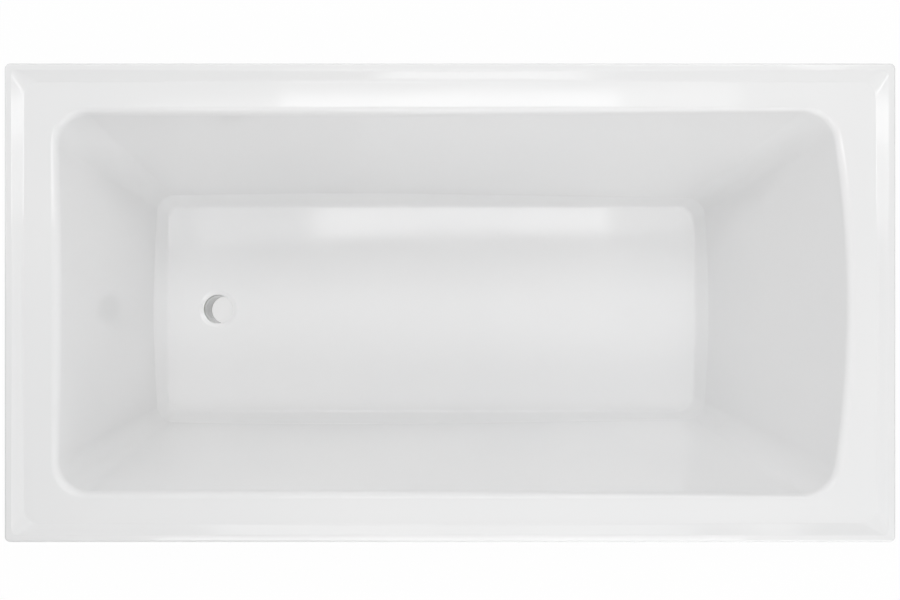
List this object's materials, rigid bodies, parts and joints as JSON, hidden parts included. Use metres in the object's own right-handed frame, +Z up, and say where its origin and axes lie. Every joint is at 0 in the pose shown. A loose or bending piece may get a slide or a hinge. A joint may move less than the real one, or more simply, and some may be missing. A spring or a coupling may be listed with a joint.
{
  "type": "inset bathtub",
  "caption": "Rectangular inset bathtub with a raised lip, rolled sloping walls and a bare waste hole, on a base board, rim battens and levelling legs.",
  "frame": {"origin": "on the ground that the feet stand on, below the centre of the rim", "axes": "+X along the bath towards the sloped head end, +Y towards the back, +Z up"},
  "size_m": [1.525, 0.82, 0.495],
  "materials": {
    "acrylic": "glossy white acrylic, backed with laminate below",
    "board": "plain particle board",
    "batten": "planed softwood",
    "galvanised": "galvanised",
    "zinc": "zinc plated",
    "foot_plastic": "moulded, fine grain",
    "outlet_plastic": "smooth moulded grey",
    "gasket_rubber": "matte"
  },
  "bodies": {
    "tub": {"bath_shell": "acrylic", "base_board": "board", "front_batten": "batten", "back_batten": "batten", "drain_end_batten": "batten", "head_end_batten": "batten", "outlet_collar": "outlet_plastic", "outlet_gasket": "gasket_rubber", "outlet_screws": "zinc", "drain_leg_rail": "galvanised", "head_leg_rail": "galvanised", "drain_rail_screws": "zinc", "head_rail_screws": "zinc", "upper_lock_nuts": "zinc", "lower_lock_nuts": "zinc", "leg_washers": "zinc", "drain_wall_bracket": "galvanised", "head_wall_bracket": "galvanised", "bracket_screws": "zinc"},
    "front_drain_leg": {"front_drain_stud": "zinc"},
    "front_drain_pad": {"front_drain_foot": "foot_plastic"},
    "back_drain_leg": {"back_drain_stud": "zinc"},
    "back_drain_pad": {"back_drain_foot": "foot_plastic"},
    "front_head_leg": {"front_head_stud": "zinc"},
    "front_head_pad": {"front_head_foot": "foot_plastic"},
    "back_head_leg": {"back_head_stud": "zinc"},
    "back_head_pad": {"back_head_foot": "foot_plastic"}
  },
  "joints": [
    {"name": "front_drain_level", "type": "slide", "parent": "tub", "child": "front_drain_leg", "axis": [0, 0, 1], "range_m": [-0.015, 0.015]},
    {"name": "front_drain_swivel", "type": "hinge", "parent": "front_drain_leg", "child": "front_drain_pad", "pos_m": [-0.34, -0.275, 0.019], "axis": [0, 0, 1], "continuous": true},
    {"name": "back_drain_level", "type": "slide", "parent": "tub", "child": "back_drain_leg", "axis": [0, 0, 1], "range_m": [-0.015, 0.015]},
    {"name": "back_drain_swivel", "type": "hinge", "parent": "back_drain_leg", "child": "back_drain_pad", "pos_m": [-0.34, 0.275, 0.019], "axis": [0, 0, 1], "continuous": true},
    {"name": "front_head_level", "type": "slide", "parent": "tub", "child": "front_head_leg", "axis": [0, 0, 1], "range_m": [-0.015, 0.015]},
    {"name": "front_head_swivel", "type": "hinge", "parent": "front_head_leg", "child": "front_head_pad", "pos_m": [0.33, -0.275, 0.019], "axis": [0, 0, 1], "continuous": true},
    {"name": "back_head_level", "type": "slide", "parent": "tub", "child": "back_head_leg", "axis": [0, 0, 1], "range_m": [-0.015, 0.015]},
    {"name": "back_head_swivel", "type": "hinge", "parent": "back_head_leg", "child": "back_head_pad", "pos_m": [0.33, 0.275, 0.019], "axis": [0, 0, 1], "continuous": true}
  ]
}
